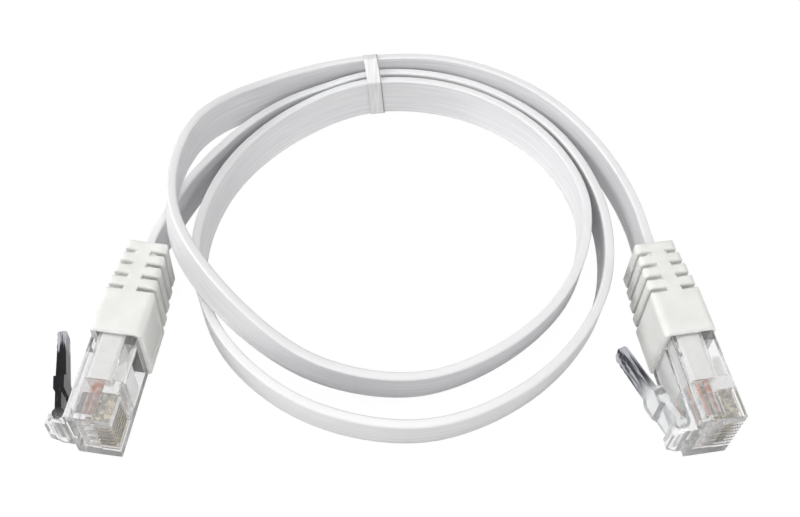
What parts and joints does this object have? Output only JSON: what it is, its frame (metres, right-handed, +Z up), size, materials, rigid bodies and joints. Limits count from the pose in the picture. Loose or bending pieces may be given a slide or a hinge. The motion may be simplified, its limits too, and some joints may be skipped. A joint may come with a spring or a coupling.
{
  "type": "ethernet patch cable",
  "caption": "Flat white network patch cable, coiled on its edge under a narrow band, with a clear latching modular plug and a ribbed white boot on each end.",
  "frame": {"origin": "on the surface that the cable lies on, under the middle of the box round the two plugs", "axes": "+Z up, along the flat cable's width; +X from the left plug to the right plug; +Y from the plugs towards the coil, so both plugs point roughly along -Y"},
  "size_m": [0.1002, 0.0769, 0.0172],
  "materials": {
    "cable_jacket": "smooth satin flexible jacket",
    "band_film": "thin translucent film",
    "clear_plastic": "clear moulded polycarbonate",
    "white_plastic": "moulded",
    "boot_white": "soft moulded, satin",
    "gold_contact": "gold plated",
    "wire_orange": "extruded insulation",
    "wire_green": "extruded insulation",
    "wire_blue": "extruded insulation",
    "wire_brown": "extruded insulation"
  },
  "bodies": {
    "cable": {"coil": "cable_jacket", "left_lead": "cable_jacket", "right_lead": "cable_jacket", "tie_band": "band_film", "left_housing": "clear_plastic", "left_contacts": "gold_contact", "left_load_bar": "clear_plastic", "left_strain_bar": "white_plastic", "left_jacket_end": "white_plastic", "left_pair_orange": "wire_orange", "left_pair_green": "wire_green", "left_pair_blue": "wire_blue", "left_pair_brown": "wire_brown", "left_boot": "boot_white", "right_housing": "clear_plastic", "right_contacts": "gold_contact", "right_load_bar": "clear_plastic", "right_strain_bar": "white_plastic", "right_jacket_end": "white_plastic", "right_pair_orange": "wire_orange", "right_pair_green": "wire_green", "right_pair_blue": "wire_blue", "right_pair_brown": "wire_brown", "right_boot": "boot_white"},
    "left_latch": {"left_latch": "clear_plastic"},
    "right_latch": {"right_latch": "clear_plastic"}
  },
  "joints": [
    {"name": "left_latch_flex", "type": "hinge", "parent": "cable", "child": "left_latch", "pos_m": [-0.04675, -0.0135, 0.00654], "axis": [0.0693, -0.0079, 0.9976], "range_deg": [-15, 3], "stiffness_Nm_per_rad": 0.02},
    {"name": "right_latch_flex", "type": "hinge", "parent": "cable", "child": "right_latch", "pos_m": [0.04159, -0.01439, 0.006], "axis": [0, 0, 1], "range_deg": [-15, 3], "stiffness_Nm_per_rad": 0.02}
  ]
}
